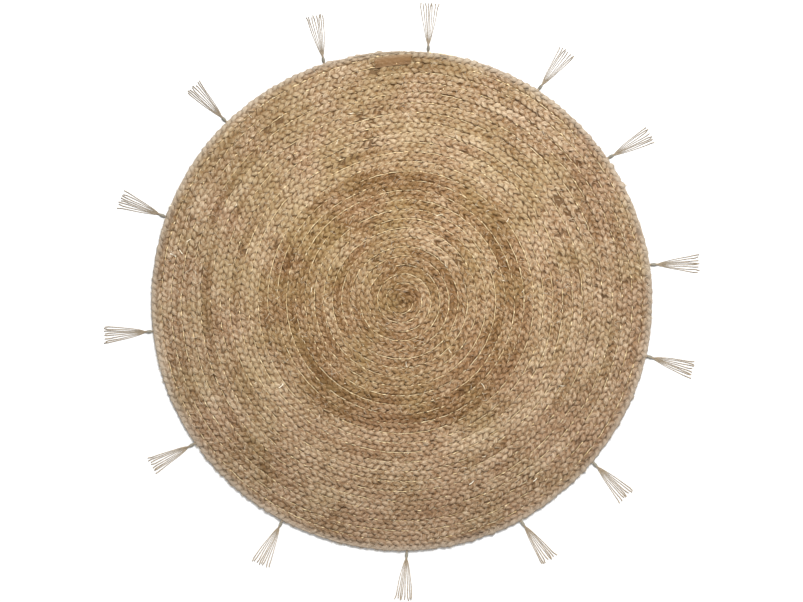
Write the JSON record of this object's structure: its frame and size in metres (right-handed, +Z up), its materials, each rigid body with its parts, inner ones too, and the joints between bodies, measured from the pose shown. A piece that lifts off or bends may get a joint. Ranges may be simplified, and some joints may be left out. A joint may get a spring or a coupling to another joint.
{
  "type": "round jute rug",
  "caption": "Round flat rug of three-strand jute braid wound as a spiral and sewn edge to edge, with knotted yarn tassels spaced round its rim.",
  "frame": {"origin": "centre of the rug's flat underside", "axes": "+Z up out of the walking surface; +Y towards the tapered end of the braid; +X to the right of it, seen from above"},
  "size_m": [1.4309, 1.4363, 0.0095],
  "materials": {
    "jute_braid": "coarse matt plant fibre, loosely spun, with a faint gold sheen",
    "jute_yarn": "matt greyish twisted yarn"
  },
  "bodies": {
    "root": {"braided_disc": "jute_braid", "tassel_01": "jute_yarn", "tassel_02": "jute_yarn", "tassel_03": "jute_yarn", "tassel_04": "jute_yarn", "tassel_05": "jute_yarn", "tassel_06": "jute_yarn", "tassel_07": "jute_yarn", "tassel_08": "jute_yarn", "tassel_09": "jute_yarn", "tassel_10": "jute_yarn", "tassel_11": "jute_yarn", "tassel_12": "jute_yarn", "tassel_13": "jute_yarn", "tassel_14": "jute_yarn"}
  },
  "joints": []
}
